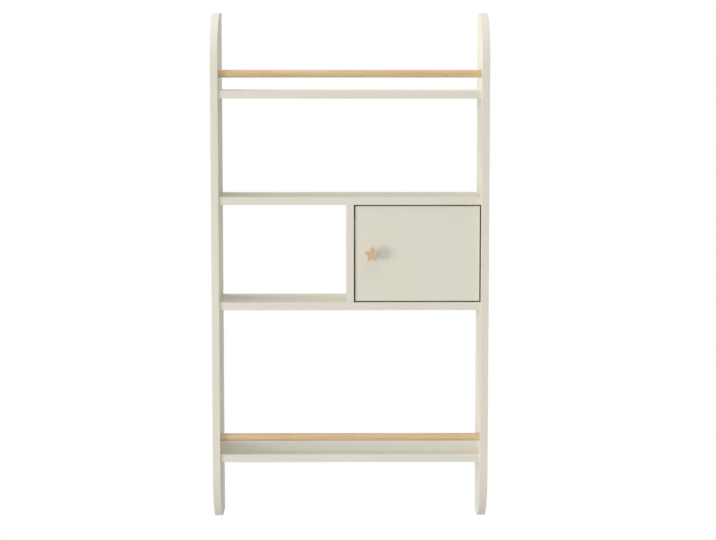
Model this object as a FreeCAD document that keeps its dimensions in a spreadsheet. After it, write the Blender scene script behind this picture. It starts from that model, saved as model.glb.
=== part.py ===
import FreeCAD, Part
import Sketcher
import math
import os
import re

# Wall shelf with a small cupboard: two side panels, four shelves, a divider, an inset door on pivots,
# two round guard rails and keyhole hangers. Millimetres, +X right, front towards -Y, +Z up.
# The origin lies on the wall, midway between the round holes of the two keyhole hangers.
SIZES = {
    # carcass boards
    "overall_width": 538,
    "overall_height": 1000,
    "overall_depth": 150,
    "side_thickness": 15,
    "shelf_thickness": 15,
    "divider_thickness": 15,
    "corner_radius": 100,
    "edge_round": 0.8,
    "shelf_setback": 4,
    # clear heights; the bay under the cupboard takes what these leave
    "foot_height": 125,
    "cupboard_height": 190,
    "upper_bay_height": 190,
    "head_height": 150,
    # back of the cupboard, which slides in grooves
    "back_thickness": 4,
    "back_inset": 8,
    "groove_depth": 5,
    "groove_clearance": 0.2,
    # round guard rails
    "rail_diameter": 15,
    "rail_clear_height": 25,
    "rail_setback": 10,
    "rail_socket_depth": 8,
    "rail_fit": 0.1,
    "rail_end_play": 0.3,
    "rail_chamfer": 0.8,
    # dowels in the shelf ends and the divider ends
    "dowel_diameter": 8,
    "dowel_inset": 35,
    "dowel_depth_across": 10,
    "dowel_depth_along": 20,
    "dowel_fit": 0.05,
    "dowel_end_play": 0.5,
    "dowel_chamfer": 0.8,
    # cam fittings: a bolt in the side, drawn in by a disc in the underside of the shelf
    "cam_diameter": 15,
    "cam_depth": 12,
    "cam_reach": 24,
    "cam_fit": 0.1,
    "cam_slot_width": 1.6,
    "cam_slot_length": 9,
    "cam_slot_depth": 2.5,
    "bolt_shank_diameter": 5,
    "bolt_shank_length": 10,
    "bolt_stem_diameter": 4.4,
    "bolt_head_diameter": 6,
    "bolt_head_length": 4,
    "bolt_fit": 0.05,
    "bolt_passage_diameter": 7,
    # inset door and its pivots
    "door_thickness": 15,
    "door_gap": 2.5,
    "door_setback": 4,
    "pivot_inset": 18,
    "pin_diameter": 5,
    "pin_seat_depth": 9,
    "pin_reach": 12,
    "pin_running_clearance": 0.05,
    "bush_diameter": 8,
    "bush_length": 14,
    "bush_flange_diameter": 12,
    "bush_flange_clearance": 0.1,
    "bush_fit": 0.05,
    # star knob on a spacer, screwed from behind
    "knob_inset": 32,
    "star_points": 5,
    "star_radius": 16.2,
    "star_notch_radius": 8,
    "star_thickness": 9,
    "star_tip_round": 1.5,
    "star_notch_round": 1.5,
    "star_edge_round": 1.2,
    "spacer_diameter": 9,
    "spacer_length": 12,
    "knob_screw_diameter": 4,
    "knob_screw_bite": 6,
    "knob_screw_head_diameter": 8,
    "knob_screw_head_height": 2.5,
    "knob_screw_clearance": 0.2,
    # magnetic catch on the divider and strike plate on the door
    "catch_drop": 50,
    "catch_width": 18,
    "catch_ear_thickness": 3,
    "catch_block_height": 26,
    "catch_depth": 15,
    "catch_height": 46,
    "catch_edge_round": 1.2,
    "magnet_length": 22,
    "magnet_thickness": 5,
    "magnet_depth": 10,
    "pole_thickness": 1.2,
    "pole_proud": 1,
    "catch_fit": 0.1,
    "catch_contact_gap": 0.2,
    "catch_screw_pitch": 34,
    "strike_width": 10,
    "strike_height": 34,
    "strike_thickness": 1.6,
    "strike_corner_radius": 2,
    # small countersunk wood screws, for the catch, the strike plate and the hangers
    "screw_diameter": 3,
    "screw_length": 14,
    "screw_head_diameter": 5.6,
    "screw_fit": 0.05,
    "strike_screw_length": 10,
    # keyhole hangers in the back edges of the sides
    "hanger_drop": 80,
    "hanger_width": 11,
    "hanger_thickness": 2,
    "hanger_above": 28,
    "hanger_below": 18,
    "hanger_fit": 0.15,
    "keyhole_diameter": 8.4,
    "keyhole_slot_width": 4.6,
    "keyhole_slot_rise": 13,
    "hanger_pocket_width": 9.6,
    "hanger_pocket_depth": 12,
    "hanger_screw_above": 22.5,
    "hanger_screw_below": 12,
}

doc = FreeCAD.newDocument("wall_shelf")
dims = doc.addObject("Spreadsheet::Sheet", "dims")
for row, (alias, value) in enumerate(SIZES.items(), start=1):
    dims.set("A%d" % row, alias)
    dims.set("B%d" % row, str(value))
    dims.setAlias("B%d" % row, alias)
doc.recompute()

# Lengths and heights that follow from the sizes, as formulas in their names.
INNER_WIDTH = "(overall_width - 2 * side_thickness)"
SHELF_DEPTH = "(overall_depth - shelf_setback)"
BAY_WIDTH = "((overall_width - 2 * side_thickness - divider_thickness) / 2)"
# Undersides of the shelves above the lower ends of the sides.
LEVEL = {"bottom_shelf": "(foot_height)", "top_shelf": "(overall_height - head_height - shelf_thickness)"}
LEVEL["cupboard_top_shelf"] = "(%s - upper_bay_height - shelf_thickness)" % LEVEL["top_shelf"]
LEVEL["cupboard_floor_shelf"] = "(%s - cupboard_height - shelf_thickness)" % LEVEL["cupboard_top_shelf"]
BASE = "(hanger_drop - overall_height)"
CUPBOARD_FLOOR = "(%s + %s + shelf_thickness)" % (BASE, LEVEL["cupboard_floor_shelf"])
CUPBOARD_CEILING = "(%s + %s)" % (BASE, LEVEL["cupboard_top_shelf"])
RAIL_HEIGHT = "shelf_thickness + rail_clear_height + rail_diameter / 2"
RAIL_LEVEL = {
    "top_guard_rail": "(%s + %s)" % (LEVEL["top_shelf"], RAIL_HEIGHT),
    "bottom_guard_rail": "(%s + %s)" % (LEVEL["bottom_shelf"], RAIL_HEIGHT),
}
DOOR_WIDTH = "(%s - 2 * door_gap)" % BAY_WIDTH
DOOR_HEIGHT = "(cupboard_height - 2 * door_gap)"
DOOR_LEFT = "(divider_thickness / 2 + door_gap)"
DOOR_FRONT = "(shelf_setback + door_setback - overall_depth)"
DOOR_BACK = "(%s + door_thickness)" % DOOR_FRONT
PIVOT_X = "(%s + %s - pivot_inset)" % (DOOR_LEFT, DOOR_WIDTH)
PIVOT_Y = "(%s + door_thickness / 2)" % DOOR_FRONT
HANGER_X = "(overall_width / 2 - side_thickness / 2)"
CATCH_LEVEL = "(cupboard_height - catch_drop)"
# The strike plate is centred on the catch's magnet, and so is its screw.
MAGNET_X = "(divider_thickness / 2 + catch_width / 2)"

# Lengths that differ by less than this are the same.
CLOSE = 1e-6

board_size = {}


def size(alias):
    """The value of one size in the sheet."""
    return float(dims.get(alias))


def formula(text):
    """The formula with each size's name pointed at its cell in the sheet."""
    return re.sub(r"[a-z]+(_[a-z]+)+", lambda name: "dims." + name.group(), text)


def worth(text):
    """The present value of a formula."""
    return float(dims.evalExpression(formula(text)))


def bind(thing, **properties):
    """Bind properties of an object to formulas."""
    for name, text in properties.items():
        thing.setExpression(name, formula(text))


def place(thing, x="0", y="0", z="0", axis=None, angle=0):
    """Place an object by formulas, turned by a fixed angle about an axis if one is given."""
    if axis:
        thing.Placement.Rotation = FreeCAD.Rotation(FreeCAD.Vector(*axis), angle)
    for letter, text in zip("xyz", (x, y, z)):
        thing.setExpression("Placement.Base." + letter, formula(text))
    return thing


def new_body(label):
    """An empty body with its label."""
    body = doc.addObject("PartDesign::Body", label)
    body.Label = label
    return body


def origin_feature(body, role):
    """One of the body's own planes or axes."""
    return next(feature for feature in body.Origin.OriginFeatures if feature.Role == role)


def new_sketch(body, name, role, offset="0"):
    """A sketch on one of the body's own planes, moved along the plane's normal."""
    sketch = body.newObject("Sketcher::SketchObject", "%s_%s" % (body.Label, name))
    sketch.AttachmentSupport = [(origin_feature(body, role), "")]
    sketch.MapMode = "FlatFace"
    sketch.setExpression("AttachmentOffset.Base.z", formula(offset))
    return sketch


def drive(sketch, kind, *reference, to):
    """A dimension in a sketch, bound to a formula."""
    index = sketch.addConstraint(Sketcher.Constraint(kind, *reference, worth(to)))
    sketch.setExpression("Constraints[%d]" % index, formula(to))


def drive_point(sketch, geometry, point, x, y):
    """Hold one point of a sketch at x, y from the sketch's origin."""
    drive(sketch, "DistanceX", -1, 1, geometry, point, to=x)
    drive(sketch, "DistanceY", -1, 1, geometry, point, to=y)


def polygon(sketch, corners):
    """Straight lines round the corners, each corner held at its two formulas."""
    points = [FreeCAD.Vector(worth(x), worth(y), 0) for x, y in corners]
    lines = []
    for start, end in zip(points, points[1:] + points[:1]):
        lines.append(sketch.addGeometry(Part.LineSegment(start, end), False))
    for index, (x, y) in enumerate(corners):
        sketch.addConstraint(Sketcher.Constraint("Coincident", lines[index - 1], 2, lines[index], 1))
        drive_point(sketch, lines[index], 1, x, y)


def rectangle(sketch, left, low, width, height):
    """A rectangle with its lower left corner at left, low."""
    right = "%s + %s" % (left, width)
    high = "%s + %s" % (low, height)
    polygon(sketch, [(left, low), (right, low), (right, high), (left, high)])


def ring(x, y, diameter):
    """A circle centred at x, y, at its present size."""
    return Part.Circle(FreeCAD.Vector(worth(x), worth(y), 0), FreeCAD.Vector(0, 0, 1), worth(diameter) / 2)


def circle(sketch, x, y, diameter):
    """A circle in a sketch, centred at x, y."""
    index = sketch.addGeometry(ring(x, y, diameter), False)
    drive(sketch, "Diameter", index, to=diameter)
    drive_point(sketch, index, 3, x, y)


def upright_slot(sketch, x, low, high, width):
    """A slot with round ends, whose end centres are at low and high on one upright line."""
    bottom = sketch.addGeometry(Part.ArcOfCircle(ring(x, low, width), math.pi, 2 * math.pi), False)
    top = sketch.addGeometry(Part.ArcOfCircle(ring(x, high, width), 0, math.pi), False)
    sides = []
    for sign, start, end in ((1, low, high), (-1, high, low)):
        edge = worth(x) + sign * worth(width) / 2
        line = Part.LineSegment(FreeCAD.Vector(edge, worth(start), 0), FreeCAD.Vector(edge, worth(end), 0))
        sides.append(sketch.addGeometry(line, False))
    right, left = sides
    for first, second in ((bottom, right), (right, top), (top, left), (left, bottom)):
        sketch.addConstraint(Sketcher.Constraint("Tangent", first, 2, second, 1))
    sketch.addConstraint(Sketcher.Constraint("Equal", bottom, top))
    drive_point(sketch, bottom, 3, x, low)
    drive_point(sketch, top, 3, x, high)
    drive(sketch, "Diameter", bottom, to=width)


def pad(body, sketch, length):
    """Extrude a sketch along its normal."""
    feature = body.newObject("PartDesign::Pad", sketch.Name + "_pad")
    feature.Profile = sketch
    bind(feature, Length=length)
    doc.recompute()
    return feature


def pocket(body, sketch, depth, reverse=False):
    """Cut a sketch into the body, against its normal unless reversed, and make sure that it cuts."""
    volume = body.Shape.Volume
    feature = body.newObject("PartDesign::Pocket", sketch.Name + "_pocket")
    feature.Profile = sketch
    feature.Reversed = reverse
    bind(feature, Length=depth)
    doc.recompute()
    if body.Shape.Volume >= volume:
        raise RuntimeError("pocket cuts nothing: " + feature.Name)


def dress(body, kind, name, wanted, **sizes):
    """Dress every edge of the body that answers the test with a fillet or a chamfer."""
    base = body.Tip
    edges = ["Edge%d" % (i + 1) for i, edge in enumerate(base.Shape.Edges) if wanted(edge)]
    feature = body.newObject("PartDesign::" + kind, "%s_%s" % (body.Label, name))
    feature.Base = (base, edges)
    bind(feature, **sizes)
    doc.recompute()


def fillet(body, name, radius, wanted):
    """Round every edge of the body that answers the test."""
    dress(body, "Fillet", name, wanted, Radius=radius)


def chamfer(body, name, width, wanted):
    """Bevel every edge of the body that answers the test."""
    dress(body, "Chamfer", name, wanted, Size=width)


def runs_along(edge, letter):
    """Whether a straight edge runs along one axis."""
    box = edge.BoundBox
    lengths = {"X": box.XLength, "Y": box.YLength, "Z": box.ZLength}
    return lengths[letter] > CLOSE and all(v < CLOSE for k, v in lengths.items() if k != letter)


def board(label, width, depth, height):
    """A square-edged board with its left front lower corner at the body's origin."""
    body = new_body(label)
    sketch = new_sketch(body, "outline", "XY_Plane")
    rectangle(sketch, "0", "0", width, depth)
    pad(body, sketch, height)
    board_size[label] = (width, depth, height)
    return body


def face_sketch(body, name, face):
    """A sketch on one face of a board: its axes are X and Y, X and Z, or Y and Z of the board."""
    width, depth, height = board_size[body.Label]
    role, offset = {
        "bottom": ("XY_Plane", "0"), "top": ("XY_Plane", height),
        "front": ("XZ_Plane", "0"), "back": ("XZ_Plane", "-" + depth),
        "left": ("YZ_Plane", "0"), "right": ("YZ_Plane", width),
    }[face]
    return new_sketch(body, name, role, offset)


def cut_face(body, face, sketch, depth):
    """Cut a sketch on a board's face into the board."""
    pocket(body, sketch, depth, reverse=face in ("bottom", "back", "left"))


def bores(body, name, face, centres, diameter, depth):
    """Blind holes in one face of a board."""
    sketch = face_sketch(body, name, face)
    for x, y in centres:
        circle(sketch, x, y, diameter)
    cut_face(body, face, sketch, depth)


def groove(body, face, left, low, width, height):
    """A rectangular groove, groove_depth deep, in one face of a board."""
    sketch = face_sketch(body, "groove", face)
    rectangle(sketch, left, low, width, height)
    cut_face(body, face, sketch, "groove_depth")


def cylinder(name, radius, height):
    """A cylinder on the origin along +Z."""
    solid = doc.addObject("Part::Cylinder", name)
    bind(solid, Radius=radius, Height=height)
    return solid


def fuse(name, solids):
    """Several solids as one."""
    whole = doc.addObject("Part::MultiFuse", name)
    whole.Shapes = solids
    whole.Refine = True
    return whole


def cut(name, solid, tool):
    """A solid less a tool."""
    rest = doc.addObject("Part::Cut", name)
    rest.Base = solid
    rest.Tool = tool
    return rest


def linked(piece, index):
    """A copy of a piece that follows its sizes and has a place of its own."""
    link = doc.addObject("App::Link", "%s_copy_%d" % (piece.Name, index))
    link.LinkedObject = piece
    return link


def group(label, copies):
    """Separate solids that share one name."""
    pieces = doc.addObject("Part::Compound", label)
    pieces.Label = label
    pieces.Links = copies
    return pieces


GROOVE_WIDTH = "(back_thickness + 2 * groove_clearance)"
DOWEL_BORE = "(dowel_diameter + 2 * dowel_fit)"
BOLT_BORE = "(bolt_shank_diameter + 2 * bolt_fit)"
PIN_BORE = "(pin_diameter + 2 * bush_fit)"
SCREW_BORE = "(screw_diameter + 2 * screw_fit)"
SCREW_SINK = "((screw_head_diameter - screw_diameter) / 2)"


def side_panel(label, inner_face, x):
    """A side: front corners rounded, all edges but the back ones eased, bored for shelves and rails."""
    body = board(label, "side_thickness", "overall_depth", "overall_height")
    fillet(body, "corners", "corner_radius",
           lambda edge: runs_along(edge, "X") and edge.BoundBox.YMax < CLOSE)
    back = size("overall_depth") - CLOSE
    fillet(body, "easing", "edge_round",
           lambda edge: edge.BoundBox.XLength < CLOSE and edge.BoundBox.YMin < back)
    middles = ["%s + shelf_thickness / 2" % level for level in LEVEL.values()]
    dowel_rows = ("shelf_setback + dowel_inset", "overall_depth - dowel_inset")
    bores(body, "dowel_bores", inner_face, [(y, z) for y in dowel_rows for z in middles],
          DOWEL_BORE, "dowel_depth_across")
    bores(body, "bolt_bores", inner_face, [("shelf_setback + %s / 2" % SHELF_DEPTH, z) for z in middles],
          BOLT_BORE, "bolt_shank_length + dowel_end_play")
    bores(body, "rail_sockets", inner_face,
          [("rail_setback + rail_diameter / 2", z) for z in RAIL_LEVEL.values()],
          "rail_diameter + 2 * rail_fit", "rail_socket_depth")
    hole_z = "overall_height - hanger_drop"
    middle_x = "side_thickness / 2"
    seat = face_sketch(body, "hanger_seat", "back")
    upright_slot(seat, middle_x, "%s - hanger_below + hanger_width / 2" % hole_z,
                 "%s + hanger_above - hanger_width / 2" % hole_z, "hanger_width + 2 * hanger_fit")
    cut_face(body, "back", seat, "hanger_thickness")
    well = face_sketch(body, "hanger_well", "back")
    upright_slot(well, middle_x, hole_z, "%s + keyhole_slot_rise" % hole_z, "hanger_pocket_width")
    cut_face(body, "back", well, "hanger_pocket_depth")
    bores(body, "hanger_pilots", "back",
          [(middle_x, "%s + hanger_screw_above" % hole_z), (middle_x, "%s - hanger_screw_below" % hole_z)],
          SCREW_BORE, "screw_length + dowel_end_play")
    return place(body, x, "-overall_depth", BASE)


side_panel("left_side_panel", "right", "-overall_width / 2")
right_side = side_panel("right_side_panel", "left", "overall_width / 2 - side_thickness")
groove(right_side, "left", "overall_depth - back_inset - %s" % GROOVE_WIDTH,
       "%s + shelf_thickness - groove_depth" % LEVEL["cupboard_floor_shelf"],
       GROOVE_WIDTH, "(cupboard_height + 2 * groove_depth)")


def shelf(label):
    """A shelf: front edges eased, ends bored for dowels and cam bolts, underside bored for the cam discs."""
    body = board(label, INNER_WIDTH, SHELF_DEPTH, "shelf_thickness")
    fillet(body, "easing", "edge_round", lambda edge: runs_along(edge, "X") and edge.BoundBox.YMax < CLOSE)
    middle_y = "%s / 2" % SHELF_DEPTH
    middle_z = "shelf_thickness / 2"
    for end in ("left", "right"):
        bores(body, end + "_dowel_bores", end,
              [("dowel_inset", middle_z), ("%s - dowel_inset" % SHELF_DEPTH, middle_z)],
              DOWEL_BORE, "dowel_depth_along")
        bores(body, end + "_bolt_passage", end, [(middle_y, middle_z)], "bolt_passage_diameter", "cam_reach")
    bores(body, "cam_bores", "bottom",
          [("cam_reach", middle_y), ("%s - cam_reach" % INNER_WIDTH, middle_y)], "cam_diameter", "cam_depth")
    return place(body, "-%s / 2" % INNER_WIDTH, "-" + SHELF_DEPTH, "%s + %s" % (BASE, LEVEL[label]))


def fit_cupboard(body, face):
    """What a shelf needs towards the cupboard: divider dowels, a pivot pin and the back panel's groove."""
    middle_x = "%s / 2" % INNER_WIDTH
    bores(body, "divider_dowel_bores", face,
          [(middle_x, "dowel_inset"), (middle_x, "%s - dowel_inset" % SHELF_DEPTH)],
          DOWEL_BORE, "dowel_depth_across")
    bores(body, "pivot_bore", face,
          [("%s + %s" % (middle_x, PIVOT_X), "%s + %s" % (SHELF_DEPTH, PIVOT_Y))], PIN_BORE, "pin_seat_depth")
    groove(body, face, "%s + divider_thickness / 2 - groove_depth" % middle_x,
           "%s - back_inset - %s" % (SHELF_DEPTH, GROOVE_WIDTH),
           "(%s + groove_depth)" % BAY_WIDTH, GROOVE_WIDTH)


shelf("bottom_shelf")
fit_cupboard(shelf("cupboard_floor_shelf"), "top")
fit_cupboard(shelf("cupboard_top_shelf"), "bottom")
shelf("top_shelf")

# Divider: stands between the cupboard's shelves on dowels, grooved for the back, piloted for the catch.
divider = board("cupboard_divider", "divider_thickness", SHELF_DEPTH, "cupboard_height")
fillet(divider, "easing", "edge_round", lambda edge: runs_along(edge, "Z") and edge.BoundBox.YMax < CLOSE)
for end in ("bottom", "top"):
    bores(divider, end + "_dowel_bores", end,
          [("divider_thickness / 2", y) for y in ("dowel_inset", "%s - dowel_inset" % SHELF_DEPTH)],
          DOWEL_BORE, "dowel_depth_along")
groove(divider, "right", "%s - back_inset - %s" % (SHELF_DEPTH, GROOVE_WIDTH), "0",
       GROOVE_WIDTH, "cupboard_height")
CATCH_FRONT = "(%s + strike_thickness + catch_contact_gap + pole_proud)" % DOOR_BACK
CATCH_SCREW_Y = "(%s + catch_depth / 2)" % CATCH_FRONT
CATCH_SCREW_ROWS = ["(%s %s catch_screw_pitch / 2)" % (CATCH_LEVEL, sign) for sign in "-+"]
bores(divider, "catch_pilots", "right",
      [("%s + %s" % (SHELF_DEPTH, CATCH_SCREW_Y), level) for level in CATCH_SCREW_ROWS],
      SCREW_BORE, "screw_length - catch_ear_thickness + dowel_end_play")
place(divider, "-divider_thickness / 2", "-" + SHELF_DEPTH, CUPBOARD_FLOOR)

# Back of the cupboard: a thin board in the grooves of the shelves, the divider and the right side.
back_panel = board("cupboard_back_panel", "(%s + 2 * groove_depth - 2 * groove_clearance)" % BAY_WIDTH,
                   "back_thickness", "(cupboard_height + 2 * groove_depth - 2 * groove_clearance)")
place(back_panel, "divider_thickness / 2 - groove_depth + groove_clearance",
      "-back_inset - back_thickness - groove_clearance",
      "%s - groove_depth + groove_clearance" % CUPBOARD_FLOOR)


def guard_rail(label):
    """A round rail across the front, whose ends stand in blind sockets in the sides."""
    body = new_body(label)
    sketch = new_sketch(body, "section", "YZ_Plane")
    circle(sketch, "0", "0", "rail_diameter")
    length = "(%s + 2 * rail_socket_depth - 2 * rail_end_play)" % INNER_WIDTH
    pad(body, sketch, length)
    chamfer(body, "ends", "rail_chamfer", lambda edge: edge.BoundBox.XLength < CLOSE)
    place(body, "-%s / 2" % length, "rail_setback + rail_diameter / 2 - overall_depth",
          "%s + %s" % (BASE, RAIL_LEVEL[label]))


guard_rail("top_guard_rail")
guard_rail("bottom_guard_rail")

# Door: an inset board with every edge eased, bored for the bushes in its ends and for the knob's screw.
door = board("door_panel", DOOR_WIDTH, "door_thickness", DOOR_HEIGHT)
fillet(door, "easing", "edge_round", lambda edge: not runs_along(edge, "Y"))
for end in ("bottom", "top"):
    bores(door, end + "_bush_bore", end, [("%s - pivot_inset" % DOOR_WIDTH, "door_thickness / 2")],
          "bush_diameter + 2 * bush_fit", "bush_length")
KNOB_Z = "(%s / 2)" % DOOR_HEIGHT
bores(door, "knob_bore", "front", [("knob_inset", KNOB_Z)],
      "knob_screw_diameter + 2 * knob_screw_clearance", "door_thickness")
bores(door, "strike_pilot", "back",
      [("%s - %s" % (MAGNET_X, DOOR_LEFT), "%s - door_gap" % CATCH_LEVEL)],
      SCREW_BORE, "strike_screw_length + dowel_end_play - strike_thickness")
place(door, DOOR_LEFT, DOOR_FRONT, "%s + door_gap" % CUPBOARD_FLOOR)

# Pivots: a pin stands in each of the cupboard's shelves and turns in a flanged bush in the door's end.
PIN_LENGTH = "(pin_seat_depth + door_gap + pin_reach)"
lower_pin = cylinder("lower_pivot_pin", "pin_diameter / 2", PIN_LENGTH)
place(lower_pin, PIVOT_X, PIVOT_Y, "%s - pin_seat_depth" % CUPBOARD_FLOOR)
upper_pin = cylinder("upper_pivot_pin", "pin_diameter / 2", PIN_LENGTH)
place(upper_pin, PIVOT_X, PIVOT_Y, "%s + pin_seat_depth - %s" % (CUPBOARD_CEILING, PIN_LENGTH))


def pivot_bush(label, z, angle):
    """A flanged bush: the sleeve is pressed into the door, and the flange fills the gap to the shelf."""
    flange_height = "(door_gap - bush_flange_clearance)"
    sleeve = cylinder(label + "_sleeve", "bush_diameter / 2", "bush_length")
    flange = cylinder(label + "_flange", "bush_flange_diameter / 2", flange_height)
    place(flange, z="-" + flange_height)
    bore = cylinder(label + "_bore", "pin_diameter / 2 + pin_running_clearance",
                    "bush_length + " + flange_height)
    place(bore, z="-" + flange_height)
    bush = cut(label, fuse(label + "_blank", [sleeve, flange]), bore)
    place(bush, PIVOT_X, PIVOT_Y, z, (1, 0, 0), angle)


pivot_bush("lower_pivot_bush", "%s + door_gap" % CUPBOARD_FLOOR, 0)
pivot_bush("upper_pivot_bush", "%s - door_gap" % CUPBOARD_CEILING, 180)

# Star knob: one kite-shaped arm turned about the screw, with the star's points and notches rounded.
star = new_body("star_knob")
arm = new_sketch(star, "arm", "XZ_Plane")
NOTCH_X = "star_notch_radius * sin(180 deg / star_points)"
NOTCH_Y = "star_notch_radius * cos(180 deg / star_points)"
polygon(arm, [("0", "0"), (NOTCH_X, NOTCH_Y), ("0", "star_radius"), ("-" + NOTCH_X, NOTCH_Y)])
arm_pad = pad(star, arm, "star_thickness")
arms = star.newObject("PartDesign::PolarPattern", "star_knob_arms")
arms.Originals = [arm_pad]
arms.Axis = (origin_feature(star, "Y_Axis"), [""])
arms.Angle = 360
bind(arms, Occurrences="star_points")
arms.Refine = True
star.Tip = arms
doc.recompute()


def across_star(edge, low, high):
    """Whether an edge runs through the star's thickness at a distance between two radii from its axis."""
    centre = edge.BoundBox.Center
    return runs_along(edge, "Y") and low < (centre.x ** 2 + centre.z ** 2) ** 0.5 < high


mean_radius = (size("star_radius") + size("star_notch_radius")) / 2
fillet(star, "points", "star_tip_round", lambda edge: across_star(edge, mean_radius, 2 * mean_radius))
fillet(star, "notches", "star_notch_round", lambda edge: across_star(edge, CLOSE, mean_radius))
fillet(star, "easing", "star_edge_round", lambda edge: edge.BoundBox.YLength < CLOSE)
screw_hole = new_sketch(star, "screw_hole", "XZ_Plane")
circle(screw_hole, "0", "0", "knob_screw_diameter + 2 * screw_fit")
pocket(star, screw_hole, "knob_screw_bite + dowel_end_play", reverse=True)
KNOB_X = "%s + knob_inset" % DOOR_LEFT
KNOB_LEVEL = "%s + door_gap + %s" % (CUPBOARD_FLOOR, KNOB_Z)
place(star, KNOB_X, "%s - spacer_length" % DOOR_FRONT, KNOB_LEVEL)

spacer = cut("knob_spacer", cylinder("spacer_blank", "spacer_diameter / 2", "spacer_length"),
             cylinder("spacer_bore", "knob_screw_diameter / 2 + knob_screw_clearance", "spacer_length"))
place(spacer, KNOB_X, DOOR_FRONT, KNOB_LEVEL, (1, 0, 0), 90)

knob_shank = cylinder("knob_screw_shank", "knob_screw_diameter / 2",
                      "door_thickness + spacer_length + knob_screw_bite")
knob_head = cylinder("knob_screw_head", "knob_screw_head_diameter / 2", "knob_screw_head_height")
place(knob_head, z="-knob_screw_head_height")
place(fuse("knob_screw", [knob_shank, knob_head]), KNOB_X, DOOR_BACK, KNOB_LEVEL, (1, 0, 0), 90)


def wood_screw(name, length):
    """A countersunk wood screw with a plain shank, its head flush with z = 0 and its point downwards."""
    shank = cylinder(name + "_shank", "screw_diameter / 2", length)
    place(shank, z="-" + length)
    head = doc.addObject("Part::Cone", name + "_head")
    bind(head, Radius1="screw_diameter / 2", Radius2="screw_head_diameter / 2", Height=SCREW_SINK)
    place(head, z="-" + SCREW_SINK)
    return fuse(name, [shank, head])


def countersink(body, name, on_face):
    """Sink the rims of a body's screw holes that answer the test, to suit the heads."""
    radius = size("screw_diameter") / 2 + size("screw_fit")
    chamfer(body, name, SCREW_SINK, lambda edge: (
        hasattr(edge.Curve, "Radius") and abs(edge.Curve.Radius - radius) < CLOSE and on_face(edge.BoundBox)))


# Magnetic catch: an eared housing on the divider holds a magnet between two pole plates that stand proud.
catch = board("catch_housing", "catch_ear_thickness", "catch_depth", "catch_height")
block = face_sketch(catch, "block", "right")
rectangle(block, "0", "catch_height / 2 - catch_block_height / 2", "catch_depth", "catch_block_height")
pad(catch, block, "catch_width - catch_ear_thickness")
fillet(catch, "easing", "catch_edge_round",
       lambda edge: runs_along(edge, "Y") and edge.BoundBox.XMin > size("catch_ear_thickness") + CLOSE)
STACK = "(magnet_thickness + 2 * pole_thickness)"
nest = face_sketch(catch, "nest", "front")
rectangle(nest, "catch_width / 2 - %s / 2 - catch_fit" % STACK,
          "catch_height / 2 - magnet_length / 2 - catch_fit",
          "(%s + 2 * catch_fit)" % STACK, "(magnet_length + 2 * catch_fit)")
cut_face(catch, "front", nest, "magnet_depth")
bores(catch, "screw_holes", "right",
      [("catch_depth / 2", "catch_height / 2 - catch_screw_pitch / 2"),
       ("catch_depth / 2", "catch_height / 2 + catch_screw_pitch / 2")], SCREW_BORE, "catch_ear_thickness")
countersink(catch, "screw_sinks", lambda box: box.XMin > size("catch_ear_thickness") - CLOSE)
CATCH_BOTTOM = "(%s + %s - catch_height / 2)" % (CUPBOARD_FLOOR, CATCH_LEVEL)
place(catch, "divider_thickness / 2", CATCH_FRONT, CATCH_BOTTOM)


def bar(name, width, depth, height, x, y, z):
    """A plain block of metal with its left front lower corner at x, y, z."""
    solid = doc.addObject("Part::Box", name)
    bind(solid, Length=width, Width=depth, Height=height)
    return place(solid, x, y, z)


MAGNET_BOTTOM = "%s + %s - magnet_length / 2" % (CUPBOARD_FLOOR, CATCH_LEVEL)
bar("catch_magnet", "magnet_thickness", "magnet_depth", "magnet_length",
    "%s - magnet_thickness / 2" % MAGNET_X, CATCH_FRONT, MAGNET_BOTTOM)
group("catch_pole_plates", [
    bar("pole_plate_" + side, "pole_thickness", "magnet_depth + pole_proud", "magnet_length",
        "%s + %s" % (MAGNET_X, x), "%s - pole_proud" % CATCH_FRONT, MAGNET_BOTTOM)
    for side, x in (("left", "-magnet_thickness / 2 - pole_thickness"), ("right", "magnet_thickness / 2"))
])

# Strike plate: a thin steel plate on the back of the door, opposite the magnet, with one sunk screw.
strike = board("strike_plate", "strike_width", "strike_thickness", "strike_height")
fillet(strike, "corners", "strike_corner_radius", lambda edge: runs_along(edge, "Y"))
bores(strike, "screw_hole", "back", [("strike_width / 2", "strike_height / 2")],
      SCREW_BORE, "strike_thickness")
countersink(strike, "screw_sink", lambda box: box.YMin > size("strike_thickness") - CLOSE)
STRIKE_LEVEL = "%s + %s" % (CUPBOARD_FLOOR, CATCH_LEVEL)
place(strike, "%s - strike_width / 2" % MAGNET_X, DOOR_BACK, "%s - strike_height / 2" % STRIKE_LEVEL)
strike_screw = wood_screw("strike_screw", "strike_screw_length")
place(strike_screw, MAGNET_X, "%s + strike_thickness" % DOOR_BACK, STRIKE_LEVEL, (1, 0, 0), -90)


def hanger_plate(label, x):
    """A keyhole plate, flush in the back edge of a side: round hole below, slot above, two sunk screws."""
    body = new_body(label)
    outline = new_sketch(body, "outline", "XZ_Plane")
    upright_slot(outline, "0", "hanger_width / 2 - hanger_below", "hanger_above - hanger_width / 2",
                 "hanger_width")
    pad(body, outline, "hanger_thickness")
    entry = new_sketch(body, "entry", "XZ_Plane")
    circle(entry, "0", "0", "keyhole_diameter")
    pocket(body, entry, "hanger_thickness", reverse=True)
    slot = new_sketch(body, "slot", "XZ_Plane")
    upright_slot(slot, "0", "0", "keyhole_slot_rise", "keyhole_slot_width")
    pocket(body, slot, "hanger_thickness", reverse=True)
    holes = new_sketch(body, "screw_holes", "XZ_Plane")
    for level in HANGER_SCREW_ROWS:
        circle(holes, "0", level, SCREW_BORE)
    pocket(body, holes, "hanger_thickness", reverse=True)
    countersink(body, "screw_sinks", lambda box: box.YMin > -CLOSE)
    place(body, x)


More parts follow.
